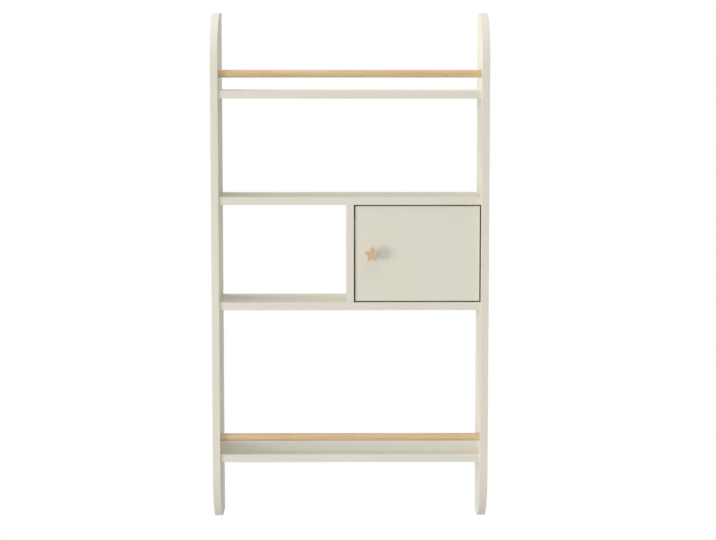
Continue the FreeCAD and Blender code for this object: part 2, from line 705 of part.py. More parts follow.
HANGER_SCREW_ROWS = ("hanger_screw_above", "-hanger_screw_below")
hanger_plate("left_hanger_plate", "-" + HANGER_X)
hanger_plate("right_hanger_plate", HANGER_X)

screw = wood_screw("wood_screw", "screw_length")
group("hanger_screws", [
    place(linked(screw, index), x, "0", level, (1, 0, 0), -90)
    for index, (x, level) in enumerate(
        (x, level) for x in ("-" + HANGER_X, HANGER_X) for level in HANGER_SCREW_ROWS)
])
group("catch_screws", [
    place(linked(screw, 4 + index), "divider_thickness / 2 + catch_ear_thickness",
          CATCH_SCREW_Y, "%s + %s" % (CUPBOARD_FLOOR, level), (0, 1, 0), 90)
    for index, level in enumerate(CATCH_SCREW_ROWS)
])

# Cam bolt: the shank is screwed into the side, and the stem carries a head into the disc.
shank = cylinder("bolt_shank", "bolt_shank_diameter / 2", "bolt_shank_length")
place(shank, z="-bolt_shank_length")
stem = cylinder("bolt_stem", "bolt_stem_diameter / 2", "cam_reach")
bolt_head = cylinder("bolt_head", "bolt_head_diameter / 2", "bolt_head_length")
place(bolt_head, z="cam_reach - bolt_head_length / 2")
bolt = fuse("cam_bolt", [shank, stem, bolt_head])

# Cam disc: flush with the underside of the shelf, open towards the bolt, with a cross slot for the driver.
cam = new_body("cam_disc")
rim = new_sketch(cam, "rim", "XY_Plane")
circle(rim, "0", "0", "cam_diameter - 2 * cam_fit")
pad(cam, rim, "cam_depth - 2 * cam_fit")
mouth = new_sketch(cam, "mouth", "YZ_Plane", "-cam_diameter / 2")
circle(mouth, "0", "shelf_thickness / 2", "bolt_passage_diameter")
pocket(cam, mouth, "cam_diameter / 2 + bolt_head_length / 2 + dowel_end_play", reverse=True)
for name, width, height in (
    ("slot_across", "cam_slot_length", "cam_slot_width"), ("slot_along", "cam_slot_width", "cam_slot_length"),
):
    slot = new_sketch(cam, name, "XY_Plane")
    rectangle(slot, "-%s / 2" % width, "-%s / 2" % height, width, height)
    pocket(cam, slot, "cam_slot_depth", reverse=True)

# Dowel: a plain peg with chamfered ends, the short end in the board that is bored across its face.
dowel = new_body("dowel")
dowel_section = new_sketch(dowel, "section", "XY_Plane", "dowel_end_play - dowel_depth_across")
circle(dowel_section, "0", "0", "dowel_diameter")
pad(dowel, dowel_section, "dowel_depth_across + dowel_depth_along - 2 * dowel_end_play")
chamfer(dowel, "ends", "dowel_chamfer", lambda edge: edge.BoundBox.ZLength < CLOSE)

# Fittings at both ends of every shelf, turned to point away from the side that they stand in.
ENDS = (("-%s / 2" % INNER_WIDTH, 90, 0, 1), ("%s / 2" % INNER_WIDTH, -90, 180, -1))
ROWS = ("dowel_inset - " + SHELF_DEPTH, "-dowel_inset")
bolts = []
cams = []
pegs = []
for level in LEVEL.values():
    for x, turn, face_turn, inward in ENDS:
        middle_z = "%s + %s + shelf_thickness / 2" % (BASE, level)
        middle_y = "-%s / 2" % SHELF_DEPTH
        bolts.append(place(linked(bolt, len(bolts)), x, middle_y, middle_z, (0, 1, 0), turn))
        cams.append(place(linked(cam, len(cams)), "%s + %d * cam_reach" % (x, inward), middle_y,
                          "%s + %s" % (BASE, level), (0, 0, 1), face_turn))
        for y in ROWS:
            pegs.append(place(linked(dowel, len(pegs)), x, y, middle_z, (0, 1, 0), turn))
group("cam_bolts", bolts)
group("cam_discs", cams)
group("shelf_dowels", pegs)
group("divider_dowels", [
    place(linked(dowel, len(pegs) + index), "0", y, z, (1, 0, 0), turn)
    for index, (y, z, turn) in enumerate(
        (y, z, turn) for y in ROWS for z, turn in ((CUPBOARD_FLOOR, 0), (CUPBOARD_CEILING, 180)))
])

NODES = [
    "left_side_panel", "right_side_panel", "top_shelf", "cupboard_top_shelf", "cupboard_floor_shelf",
    "bottom_shelf", "cupboard_divider", "cupboard_back_panel", "top_guard_rail", "bottom_guard_rail",
    "door_panel", "lower_pivot_pin", "upper_pivot_pin", "lower_pivot_bush", "upper_pivot_bush",
    "star_knob", "knob_spacer", "knob_screw", "catch_housing", "catch_magnet", "catch_pole_plates",
    "catch_screws", "strike_plate", "strike_screw", "left_hanger_plate", "right_hanger_plate",
    "hanger_screws", "cam_bolts", "cam_discs", "shelf_dowels", "divider_dowels",
]

doc.recompute()
for thing in doc.Objects:
    if "Invalid" in thing.State or "Error" in thing.State:
        raise RuntimeError("failed: %s %s" % (thing.Name, thing.State))
os.makedirs("parts", exist_ok=True)
shapes = {}
for label in NODES:
    shapes[label] = doc.getObjectsByLabel(label)[0].Shape
    if shapes[label].isNull() or not shapes[label].isValid():
        raise RuntimeError("bad shape: " + label)
for label, shape in shapes.items():
    shape.exportStep("parts/%s.step" % label)
    box = shape.BoundBox
    print("%-22s %2d solid(s) %9.0f mm3  x %7.1f %7.1f  y %7.1f %7.1f  z %7.1f %7.1f" % (
        label, len(shape.Solids), shape.Volume, box.XMin, box.XMax, box.YMin, box.YMax, box.ZMin, box.ZMax))
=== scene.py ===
import math

import bpy
import numpy as np
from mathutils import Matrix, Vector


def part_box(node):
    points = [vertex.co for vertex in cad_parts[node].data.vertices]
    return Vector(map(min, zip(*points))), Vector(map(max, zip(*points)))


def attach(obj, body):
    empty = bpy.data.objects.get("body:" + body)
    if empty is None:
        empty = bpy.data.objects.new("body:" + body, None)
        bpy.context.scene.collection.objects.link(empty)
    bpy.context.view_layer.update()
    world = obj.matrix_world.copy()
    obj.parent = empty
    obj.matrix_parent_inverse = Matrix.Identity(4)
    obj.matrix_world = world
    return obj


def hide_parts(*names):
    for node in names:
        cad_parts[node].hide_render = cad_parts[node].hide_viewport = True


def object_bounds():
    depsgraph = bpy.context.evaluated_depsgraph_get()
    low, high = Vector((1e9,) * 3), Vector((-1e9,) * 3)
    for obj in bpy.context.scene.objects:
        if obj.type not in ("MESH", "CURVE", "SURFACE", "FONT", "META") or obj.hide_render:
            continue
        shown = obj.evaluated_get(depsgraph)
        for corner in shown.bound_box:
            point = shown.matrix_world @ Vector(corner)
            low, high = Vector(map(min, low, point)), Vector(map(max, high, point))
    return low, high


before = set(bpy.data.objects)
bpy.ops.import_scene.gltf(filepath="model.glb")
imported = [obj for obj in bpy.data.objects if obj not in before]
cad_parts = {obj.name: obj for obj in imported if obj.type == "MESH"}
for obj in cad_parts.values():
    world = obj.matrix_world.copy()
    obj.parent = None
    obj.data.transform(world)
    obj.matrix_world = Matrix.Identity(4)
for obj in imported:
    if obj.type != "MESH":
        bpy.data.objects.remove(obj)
cad_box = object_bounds()

# Sides, shelves, divider and door
# Fibreboard, sprayed with a cream matt lacquer after its edges were eased. The shelves stand between the
# sides on dowels and cam fittings, and the door hangs on pins in the shelves above and below it.

MM = 0.001
NOISE_SPAN = {"From Min": 0.3, "From Max": 0.7}  # nearly all values of a noise texture lie between these


def linear(hex_colour):
    """Linear RGBA of an sRGB hex colour, by the curve of the sRGB standard."""
    levels = np.array([int(hex_colour[i:i + 2], 16) for i in (1, 3, 5)]) / 255
    curved = np.where(levels <= 0.04045, levels / 12.92, ((levels + 0.055) / 1.055) ** 2.4)
    return (*curved.tolist(), 1.0)


def per_metre(size_mm):
    """The scale at which a pattern's spots or lines are about so many millimetres wide."""
    return 1 / (size_mm * MM)


def add(tree, kind, sockets=None, out=None, **settings):
    """Add a shader node and give its named output, or the first in use. The settings are the node's own
    properties. A socket, named or numbered among those in use, takes a value, a hex colour or an output."""
    node = tree.nodes.new("ShaderNode" + kind)
    for name, value in settings.items():
        setattr(node, name, value)
    for key, value in (sockets or {}).items():
        used = [socket for socket in node.inputs if socket.enabled]
        socket = used[key] if isinstance(key, int) else next(s for s in used if s.name == key)
        if isinstance(value, bpy.types.NodeSocket):
            tree.links.new(value, socket)
        else:
            socket.default_value = linear(value) if isinstance(value, str) else value
    return node.outputs[out] if out else next((s for s in node.outputs if s.enabled), None)


def new_material(name):
    """An empty node material, its tree, and the object coordinates in metres."""
    material = bpy.data.materials.new(name)
    material.use_nodes = True
    material.node_tree.nodes.clear()
    return material, material.node_tree, add(material.node_tree, "TexCoord", out="Object")


def matt_lacquer(name, body, shade):
    """Sprayed lacquer on fibreboard: an even colour, a little cloudy, with a dull gloss that varies and the
    shallow orange peel that a spray gun leaves, drawn coarser than it is, so that it shows."""
    material, tree, place = new_material(name)
    cloud_mm, gloss_mm, peel_mm, peel_depth_mm = 240, 55, 4, 0.05
    smoothest, dullest = 0.6, 0.7
    cloud = add(tree, "TexNoise", {"Vector": place, "Scale": per_metre(cloud_mm), "Detail": 3.0})
    gloss = add(tree, "TexNoise", {"Vector": place, "Scale": per_metre(gloss_mm), "Detail": 2.0})
    peel = add(tree, "TexNoise", {"Vector": place, "Scale": per_metre(peel_mm), "Detail": 1.0})
    tone = add(tree, "MapRange", {"Value": cloud, **NOISE_SPAN})
    rough = add(tree, "MapRange", {"Value": gloss, **NOISE_SPAN, "To Min": smoothest, "To Max": dullest})
    shader = add(tree, "BsdfPrincipled", {
        "Base Color": add(tree, "Mix", {"Factor": tone, "A": body, "B": shade}, data_type="RGBA"),
        "Roughness": rough,
        "Specular IOR Level": 0.4,
        "Normal": add(tree, "Bump", {"Height": peel, "Strength": 0.35, "Distance": peel_depth_mm * MM}),
    })
    add(tree, "OutputMaterial", {"Surface": shader})
    return material


def finish(material, *names):
    """Give the named nodes of the frame a material."""
    for name in names:
        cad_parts[name].material_slots[0].material = material


cream_lacquer = matt_lacquer("cream_matt_lacquer", body="#ECE9DB", shade="#E9E5D6")
finish(cream_lacquer, "left_side_panel", "right_side_panel", "top_shelf", "cupboard_top_shelf",
       "cupboard_floor_shelf", "bottom_shelf", "cupboard_divider", "door_panel")

# Guard rails
# Turned beech rods, sanded and oiled. Their ends stand in blind sockets in the sides, and the fibres run
# along the rod.


def sanded_beech(name, pale, warm, pore, along, pith_mm, smoothest):
    """Sanded beech: growth rings about a pith line, long streaks and fibres in two tones, dark flecks and a
    low sheen. along is the axis of the fibres, pith_mm a point at the heart of the tree, and smoothest the
    roughness of the smoothest fibres."""
    material, tree, place = new_material(name)
    ring_mm, wander_mm, wander_by_mm, streak_mm = 3.2, 14, 2.6, 5.0
    fibre_mm, fibre_depth_mm, pore_mm = 0.9, 0.08, 0.8
    stretch, pore_stretch, rough_by = 40, 12, 0.12
    streak_least, streak_most, ring_share, fibre_share = -0.08, 0.88, 0.14, 0.2
    fleck_least, fleck_most, fleck_share = 0.64, 0.78, 0.42
    across = [float(axis != along) for axis in range(3)]
    heart = add(tree, "Mapping", {"Vector": place, "Location": [-v * MM for v in pith_mm]})
    drawn = add(tree, "Mapping", {"Vector": heart, "Scale": [c + (1 - c) / stretch for c in across]})
    short = add(tree, "Mapping", {"Vector": heart, "Scale": [c + (1 - c) / pore_stretch for c in across]})
    section = add(tree, "VectorMath", {0: heart, 1: across}, operation="MULTIPLY")
    radius = add(tree, "VectorMath", {0: section}, operation="LENGTH")
    wander = add(tree, "TexNoise", {"Vector": drawn, "Scale": per_metre(wander_mm), "Detail": 2.0})
    radius = add(tree, "Math", {0: wander, 1: wander_by_mm * MM, 2: radius}, operation="MULTIPLY_ADD")
    phase = add(tree, "Math", {0: radius, 1: 2 * math.pi * per_metre(ring_mm)}, operation="MULTIPLY")
    ring = add(tree, "Math", {0: phase}, operation="SINE")
    streak = add(tree, "TexNoise", {"Vector": drawn, "Scale": per_metre(streak_mm), "Detail": 2.0})
    fibre = add(tree, "TexNoise", {"Vector": drawn, "Scale": per_metre(fibre_mm), "Detail": 2.0})
    pores = add(tree, "TexNoise", {"Vector": short, "Scale": per_metre(pore_mm), "Detail": 0.0})
    broad = add(tree, "MapRange", {"Value": streak, **NOISE_SPAN,
                                   "To Min": streak_least, "To Max": streak_most})
    fine = add(tree, "MapRange", {"Value": fibre, **NOISE_SPAN,
                                  "To Min": -fibre_share, "To Max": fibre_share})
    broad = add(tree, "Math", {0: ring, 1: ring_share, 2: broad}, operation="MULTIPLY_ADD")
    tone = add(tree, "Math", {0: broad, 1: fine}, operation="ADD", use_clamp=True)
    fleck = add(tree, "MapRange", {"Value": pores, "From Min": fleck_least, "From Max": fleck_most,
                                   "To Max": fleck_share})
    body = add(tree, "Mix", {"Factor": tone, "A": pale, "B": warm}, data_type="RGBA")
    rough = add(tree, "MapRange", {"Value": fibre, **NOISE_SPAN,
                                   "To Min": smoothest, "To Max": smoothest + rough_by})
    shader = add(tree, "BsdfPrincipled", {
        "Base Color": add(tree, "Mix", {"Factor": fleck, "A": body, "B": pore}, data_type="RGBA"),
        "Roughness": rough,
        "Specular IOR Level": 0.3,
        "Normal": add(tree, "Bump", {"Height": fibre, "Strength": 0.3, "Distance": fibre_depth_mm * MM}),
    })
    add(tree, "OutputMaterial", {"Surface": shader})
    return material


X_AXIS, Z_AXIS = 0, 2
OILED_ROUGHNESS = 0.58
rail_beech = sanded_beech("oiled_beech_rail", pale="#E5CBA4", warm="#D6B485", pore="#B8935F",
                          along=X_AXIS, pith_mm=(0, -190, -400), smoothest=OILED_ROUGHNESS)
finish(rail_beech, "top_guard_rail", "bottom_guard_rail")

# Star knob and its spacer
# A five-pointed star, cut from a beech board with its fibres upright and sanded round. A turned spacer
# holds it off the door, and one screw from behind the door passes through the spacer into the star.

knob_beech = sanded_beech("oiled_beech_knob", pale="#E3C9A3", warm="#D4B58A", pore="#B08E62",
                          along=Z_AXIS, pith_mm=(64, -120, -385), smoothest=OILED_ROUGHNESS)
finish(knob_beech, "star_knob", "knob_spacer")

# Back of the cupboard
# Thin hardboard, coated cream on both faces, which slides in grooves round the cupboard. Its coat is
# thinner and duller than the lacquer, and the fibres show through as a fine grain.


def coated_hardboard(name, body, shade):
    """Roller-coated hardboard: a dull coat over short matted fibres."""
    material, tree, place = new_material(name)
    fibre_mm, fibre_depth_mm, cloud_mm = 1.6, 0.06, 90
    smoothest, dullest = 0.6, 0.74
    fibres = add(tree, "TexNoise", {"Vector": place, "Scale": per_metre(fibre_mm), "Detail": 4.0})
    cloud = add(tree, "TexNoise", {"Vector": place, "Scale": per_metre(cloud_mm), "Detail": 3.0})
    tone = add(tree, "MapRange", {"Value": cloud, **NOISE_SPAN})
    rough = add(tree, "MapRange", {"Value": fibres, **NOISE_SPAN, "To Min": smoothest, "To Max": dullest})
    shader = add(tree, "BsdfPrincipled", {
        "Base Color": add(tree, "Mix", {"Factor": tone, "A": body, "B": shade}, data_type="RGBA"),
        "Roughness": rough,
        "Normal": add(tree, "Bump", {"Height": fibres, "Strength": 0.4, "Distance": fibre_depth_mm * MM}),
    })
    add(tree, "OutputMaterial", {"Surface": shader})
    return material


finish(coated_hardboard("coated_hardboard", body="#E6E1D1", shade="#E2DDCC"), "cupboard_back_panel")

# Pivot pins and bushes
# Zinc-plated steel pins stand in the shelves and turn in flanged nylon bushes in the door's two ends. The
# flanges carry the door and keep its gaps even. The nylon's dark brown is painted shade: where the flanges
# show in the gaps, it stands in for the gaps' dark.


def plated_steel(name, bright, dull, roughness, blotch_mm):
    """Zinc on metal: grey, with soft blotches where the plating is duller, and upright drawn lines, coarser
    than they are, so that they show."""
    material, tree, place = new_material(name)
    line_mm, line_depth_mm, line_stretch, rough_by = 0.35, 0.02, 30, 0.08
    drawn = add(tree, "Mapping", {"Vector": place, "Scale": [1, 1, 1 / line_stretch]})
    blotch = add(tree, "TexNoise", {"Vector": place, "Scale": per_metre(blotch_mm), "Detail": 4.0})
    lines = add(tree, "TexNoise", {"Vector": drawn, "Scale": per_metre(line_mm), "Detail": 1.0})
    tone = add(tree, "MapRange", {"Value": blotch, **NOISE_SPAN})
    rough = add(tree, "MapRange", {"Value": lines, **NOISE_SPAN,
                                   "To Min": roughness - rough_by, "To Max": roughness + rough_by})
    shader = add(tree, "BsdfPrincipled", {
        "Base Color": add(tree, "Mix", {"Factor": tone, "A": bright, "B": dull}, data_type="RGBA"),
        "Metallic": 1.0,
        "Roughness": rough,
        "Normal": add(tree, "Bump", {"Height": lines, "Strength": 0.15, "Distance": line_depth_mm * MM}),
    })
    add(tree, "OutputMaterial", {"Surface": shader})
    return material


def moulded_plastic(name, body, shade, roughness, grain_mm, glow):
    """Moulded plastic: an even colour, a little cloudy, with the grain of its mould, drawn coarser than it
    is, so that it shows. glow is the share of the light that goes in and spreads."""
    material, tree, place = new_material(name)
    cloud_mm, grain_depth_mm, spread_mm, rough_by = 12, 0.03, (2, 2, 1.5), 0.06
    cloud = add(tree, "TexNoise", {"Vector": place, "Scale": per_metre(cloud_mm), "Detail": 2.0})
    grain = add(tree, "TexNoise", {"Vector": place, "Scale": per_metre(grain_mm), "Detail": 2.0})
    tone = add(tree, "MapRange", {"Value": cloud, **NOISE_SPAN})
    rough = add(tree, "MapRange", {"Value": grain, **NOISE_SPAN,
                                   "To Min": roughness - rough_by, "To Max": roughness + rough_by})
    shader = add(tree, "BsdfPrincipled", {
        "Base Color": add(tree, "Mix", {"Factor": tone, "A": body, "B": shade}, data_type="RGBA"),
        "Roughness": rough,
        "Subsurface Weight": glow,
        "Subsurface Radius": spread_mm,
        "Subsurface Scale": MM,
        "Normal": add(tree, "Bump", {"Height": grain, "Strength": 0.3, "Distance": grain_depth_mm * MM}),
    })
    add(tree, "OutputMaterial", {"Surface": shader})
    return material


zinc_plate = plated_steel("zinc_plated_steel", bright="#C9C8C4", dull="#A9A8A6",
                          roughness=0.32, blotch_mm=5)
finish(zinc_plate, "lower_pivot_pin", "upper_pivot_pin")
# The bushes' nylon is given a dark brown as painted shade, for the dark of the door's gaps where the
# flanges show.
nylon_in_painted_gap_shade = moulded_plastic("nylon_painted_gap_shade", body="#4A4038", shade="#40372F",
                              roughness=0.42, grain_mm=0.6, glow=0.1)
finish(nylon_in_painted_gap_shade, "lower_pivot_bush", "upper_pivot_bush")

# Magnetic catch and strike plate
# A moulded housing on the divider holds a ferrite magnet between two steel pole plates. They draw in the
# strike plate, a pressed steel plate on the back of the door.


def pressed_ferrite(name, body, shade):
    """Pressed ferrite: a dark grey ceramic with a fine grit, drawn coarser than it is, so that it shows."""
    material, tree, place = new_material(name)
    grit_mm, grit_depth_mm = 0.7, 0.03
    smoothest, dullest = 0.55, 0.75
    grit = add(tree, "TexNoise", {"Vector": place, "Scale": per_metre(grit_mm), "Detail": 4.0})
    tone = add(tree, "MapRange", {"Value": grit, **NOISE_SPAN})
    rough = add(tree, "MapRange", {"Value": grit, **NOISE_SPAN, "To Min": smoothest, "To Max": dullest})
    shader = add(tree, "BsdfPrincipled", {
        "Base Color": add(tree, "Mix", {"Factor": tone, "A": body, "B": shade}, data_type="RGBA"),
        "Roughness": rough,
        "Normal": add(tree, "Bump", {"Height": grit, "Strength": 0.3, "Distance": grit_depth_mm * MM}),
    })
    add(tree, "OutputMaterial", {"Surface": shader})
    return material


catch_plastic = moulded_plastic("cream_catch_plastic", body="#E6E2D4", shade="#DED9C9",
                                roughness=0.46, grain_mm=0.9, glow=0.0)
finish(catch_plastic, "catch_housing")
finish(pressed_ferrite("pressed_ferrite", body="#3A3937", shade="#2A2928"), "catch_magnet")
finish(zinc_plate, "catch_pole_plates", "strike_plate")

# Keyhole hangers
# Pressed steel plates, zinc-plated, let flush into the back edges of the sides. The heads of two wall
# screws go into the round holes, and the shelf drops until their necks stand in the slots.

finish(zinc_plate, "left_hanger_plate", "right_hanger_plate")

# Screws
# Countersunk steel screws with a cross recess hold the hangers, the catch and the strike plate, and a
# pan-headed machine screw holds the knob. Each is turned and rolled from one wire.

COLUMNS, HEAD_ROWS, THREAD_STEPS = 64, 18, 8
SHARP_FROM_DEGREES = 32


def lay_along(points, axis, at):
    """Points made about +Z from the origin, turned so that +Z lies along axis, and moved to a place."""
    upright = 0.9
    w = np.array(axis, float)
    u = np.cross(w, (0, 0, 1) if abs(w[2]) < upright else (1, 0, 0))
    u /= np.linalg.norm(u)
    v = np.cross(w, u)
    return np.array(at) + points @ np.stack([u, v, w])


def closed_skin(grid):
    """Points, four-sided faces and fans of rows of points round an axis, from the highest row down and
    anticlockwise from above. The first and the last row are single points, so fans close the two ends."""
    rows, columns = grid.shape[:2]
    bands = rows - 3
    points = np.vstack([grid[0, :1], grid[1:-1].reshape(-1, 3), grid[-1, :1]])
    here = np.arange(columns)
    beside = np.roll(here, -1)
    upper = 1 + np.arange(bands)[:, None] * columns
    lower = upper + columns
    walls = np.stack([upper + here, lower + here, lower + beside, upper + beside], axis=-1)
    top = np.stack([np.zeros_like(here), 1 + here, 1 + beside], axis=-1)
    last = 1 + bands * columns
    foot = np.stack([np.full_like(here, len(points) - 1), last + beside, last + here], axis=-1)
    return points, walls.reshape(-1, 4), np.vstack([top, foot])


def piece(name, skin, places, material, body, node):
    """One object of like closed skins, one for each axis and place, which stands for a node of the frame
    and rides with its body. A copy's faces are the first skin's, counted on from the points before it."""
    points, walls, fans = skin
    copies = np.vstack([lay_along(points, axis, at) for axis, at in places])
    firsts = len(points) * np.arange(len(places))[:, None, None]
    faces = (walls + firsts).reshape(-1, 4).tolist() + (fans + firsts).reshape(-1, 3).tolist()
    mesh = bpy.data.meshes.new(name)
    mesh.from_pydata(copies.tolist(), [], faces)
    mesh.shade_smooth()
    mesh.set_sharp_from_angle(angle=math.radians(SHARP_FROM_DEGREES))
    mesh.materials.append(material)
    made = bpy.data.objects.new(name, mesh)
    bpy.context.scene.collection.objects.link(made)
    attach(made, body)
    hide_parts(node)


def around(*runs):
    """Rows of points round +Z from the runs of a profile, from the top down: each row is a circle. A run is
    a radius and a height, of which one or both may be arrays."""
    runs = [np.broadcast_arrays(*run) for run in runs]
    radius, height = (np.hstack([run[k].ravel() for run in runs]) for k in range(2))
    angle = np.linspace(0, 2 * math.pi, COLUMNS, endpoint=False)
    grid = np.stack([np.outer(radius, np.cos(angle)), np.outer(radius, np.sin(angle)),
                     np.repeat(height[:, None], COLUMNS, axis=1)], axis=-1)
    return grid, angle


def threaded(grid, angle, top, foot, pitch, depth):
    """Press a thread into rows between two heights: the radius falls by depth along a helix of that pitch.
    Its section is a triangular wave whose crests and roots are cut flat."""
    steepness, root = 1.5, 0.25
    height = grid[..., 2]
    turn = (height / pitch - angle / (2 * math.pi)) % 1
    groove = np.clip(steepness * np.abs(2 * turn - 1) - root, 0, 1) - 1
    radius = np.hypot(grid[..., 0], grid[..., 1])
    on_thread = (height < top) & (height > foot) & (radius > 0)
    factor = 1 + on_thread * depth * groove / np.where(on_thread, radius, 1)
    grid[..., :2] *= factor[..., None]
    return grid


def cross_recess(grid, head_radius):
    """Sink a cross into the rows of a head: two slots with sloping walls, deepest at the middle, where the
    depth falls with the square root of the way that is left to the slots' ends."""
    reach, width, wall, depth = (share * head_radius for share in (0.62, 0.36, 0.11, 0.55))
    x, y = grid[..., 0], grid[..., 1]
    narrow = np.minimum(np.abs(x), np.abs(y))
    inside = np.clip((width / 2 - narrow) / wall, 0, 1)
    grid[..., 2] -= depth * inside * np.sqrt(np.clip(1 - np.hypot(x, y) / reach, 0, 1))
    return grid


def screw(head_radius, rise, sink, shank_radius, length, pitch, depth):
    """A screw about +Z with its seat at z = 0: a head that rises in a dome, or sinks in a cone, a cross
    recess, a threaded shank and a point."""
    dome, dome_power, plain, first, slimness = 0.35, 2.5, 1.2 * MM, 0.1 * MM, 2.5
    tip = slimness * shank_radius
    out = np.linspace(0, 1, HEAD_ROWS)
    head = (head_radius * out, rise * (1 - dome * out ** dome_power))
    rim = [(head_radius, 0.0)] if rise else []
    shank = (shank_radius, np.arange(-sink - first, tip - length, -pitch / THREAD_STEPS))
    taper = np.array([0.95, 0.6, 0.25, 0.0])
    point = (shank_radius * taper, -length + tip * taper)
    grid, angle = around(head, *rim, (shank_radius, -sink), shank, point)
    grid[:HEAD_ROWS] = cross_recess(grid[:HEAD_ROWS], head_radius)
    return closed_skin(threaded(grid, angle, -sink - plain, tip - length, pitch, depth))


HEAD_RADIUS, SHANK_RADIUS, SINK = 2.8 * MM, 1.5 * MM, 1.3 * MM
WOOD_PITCH, WOOD_THREAD = 1.3 * MM, 0.35 * MM
BACK, RIGHT = (0, 1, 0), (1, 0, 0)


def wood_screws(name, body, axis, length, heads):
    """Like screws whose heads lie at those places and face along axis."""
    skin = screw(HEAD_RADIUS, 0.0, SINK, SHANK_RADIUS, length, WOOD_PITCH, WOOD_THREAD)
    piece(name + "_cross", skin, [(axis, at) for at in heads], zinc_plate, body, name)


low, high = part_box("hanger_screws")
wood_screws("hanger_screws", "carcass", BACK, high.y - low.y, [
    (x, high.y, z) for x in (low.x + HEAD_RADIUS, high.x - HEAD_RADIUS)
    for z in (low.z + HEAD_RADIUS, high.z - HEAD_RADIUS)
])
low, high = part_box("catch_screws")
wood_screws("catch_screws", "carcass", RIGHT, high.x - low.x, [
    (high.x, (low.y + high.y) / 2, z) for z in (low.z + HEAD_RADIUS, high.z - HEAD_RADIUS)
])
low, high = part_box("strike_screw")
head = ((low.x + high.x) / 2, high.y, (low.z + high.z) / 2)
wood_screws("strike_screw", "door", BACK, high.y - low.y, [head])

PAN_RISE, KNOB_SHANK_RADIUS, KNOB_PITCH, KNOB_THREAD = 2.5 * MM, 2 * MM, 0.7 * MM, 0.3 * MM
low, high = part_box("knob_screw")
pan_radius, reach = (high.x - low.x) / 2, high.y - PAN_RISE - low.y
seat = ((low.x + high.x) / 2, high.y - PAN_RISE, (low.z + high.z) / 2)
knob_screw = screw(pan_radius, PAN_RISE, 0.0, KNOB_SHANK_RADIUS, reach, KNOB_PITCH, KNOB_THREAD)
piece("knob_screw_pan", knob_screw, [(BACK, seat)], zinc_plate, "door", "knob_screw")

# Cam fittings
# A steel bolt is screwed into the side up to its collar, and its head is drawn into the shelf by a die-cast
# zinc disc that is turned with a driver from below.

die_cast_zinc = plated_steel("die_cast_zinc", bright="#B7B6B2", dull="#9C9B98",
                             roughness=0.46, blotch_mm=3)
finish(die_cast_zinc, "cam_discs")

BOLT_REACH, BOLT_BITE, BOLT_TIP = 24 * MM, 10 * MM, 1.5 * MM
BOLT_HEAD_RADIUS, BOLT_HEAD_LENGTH, BOLT_HEAD_EASE = 3 * MM, 4 * MM, 0.4 * MM
BOLT_NECK_RADIUS, BOLT_NECK_LENGTH, BOLT_STEM_RADIUS = 1.5 * MM, 3 * MM, 2.2 * MM
BOLT_COLLAR_RADIUS, BOLT_COLLAR_LENGTH = 3.2 * MM, 1.2 * MM
BOLT_THREAD_RADIUS, BOLT_PITCH, BOLT_THREAD = 2.5 * MM, 2.0 * MM, 0.6 * MM


def cam_bolt():
    """A bolt about +Z with the side's face at z = 0: an eased head with a cross recess, a narrow neck, a
    stem and a collar above the face, and a coarse thread with a blunt point below it."""
    ease_power = 6
    top = BOLT_REACH + BOLT_HEAD_LENGTH / 2
    under_head = top - BOLT_HEAD_LENGTH
    under_neck = under_head - BOLT_NECK_LENGTH
    tip, step = BOLT_TIP - BOLT_BITE, BOLT_PITCH / THREAD_STEPS
    out = np.linspace(0, 1, HEAD_ROWS)
    grid, angle = around(
        (BOLT_HEAD_RADIUS * out, top - BOLT_HEAD_EASE * out ** ease_power), (BOLT_HEAD_RADIUS, under_head),
        (BOLT_NECK_RADIUS, np.array([under_head, under_neck])),
        (BOLT_STEM_RADIUS, np.array([under_neck, BOLT_COLLAR_LENGTH])),
        (BOLT_COLLAR_RADIUS, np.array([BOLT_COLLAR_LENGTH, 0.0])),
        (BOLT_THREAD_RADIUS, np.arange(0.0, tip, -step)), (BOLT_STEM_RADIUS, tip),
        (BOLT_NECK_RADIUS, -BOLT_BITE), (0.0, -BOLT_BITE))
    grid[:HEAD_ROWS] = cross_recess(grid[:HEAD_ROWS], BOLT_HEAD_RADIUS)
    return closed_skin(threaded(grid, angle, -step, tip, BOLT_PITCH, BOLT_THREAD))


LEFT = (-1, 0, 0)
SHELVES = "top_shelf", "cupboard_top_shelf", "cupboard_floor_shelf", "bottom_shelf"
shelf_middles = [sum(corner.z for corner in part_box(name)) / 2 for name in SHELVES]
low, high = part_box("cam_bolts")
piece("cam_bolts_threaded", cam_bolt(), [
    (axis, (x, (low.y + high.y) / 2, z))
    for axis, x in ((RIGHT, low.x + BOLT_BITE), (LEFT, high.x - BOLT_BITE)) for z in shelf_middles
], zinc_plate, "carcass", "cam_bolts")

# Dowels
# Pegs of raw beech with pressed flutes that let the glue spread. They place the shelves in the sides and
# the divider between its two shelves.

RAW_ROUGHNESS = 0.72
DOWEL_RADIUS, DOWEL_LENGTH, DOWEL_CHAMFER = 4 * MM, 29 * MM, 0.8 * MM
FLUTES, FLUTE_DEPTH = 16, 0.35 * MM
UP = (0, 0, 1)


def dowels(name, material, axis, feet):
    """Like pegs from those feet along an axis: circles of one radius, narrower at the chamfered ends,
    pressed in by the flute depth times the cosine of the flutes times the angle, where that is above 0."""
    inner = DOWEL_RADIUS - DOWEL_CHAMFER
    grid, angle = around(
        (np.array([0.0, inner]), DOWEL_LENGTH),
        (DOWEL_RADIUS, np.array([DOWEL_LENGTH - DOWEL_CHAMFER, DOWEL_CHAMFER])),
        (np.array([inner, 0.0]), 0.0))
    pressed = FLUTE_DEPTH / DOWEL_RADIUS * np.clip(np.cos(FLUTES * angle), 0, 1)
    grid[..., :2] *= (1 - pressed)[:, None]
    places = [(axis, at) for at in feet]
    piece(name + "_fluted", closed_skin(grid), places, material, "carcass", name)


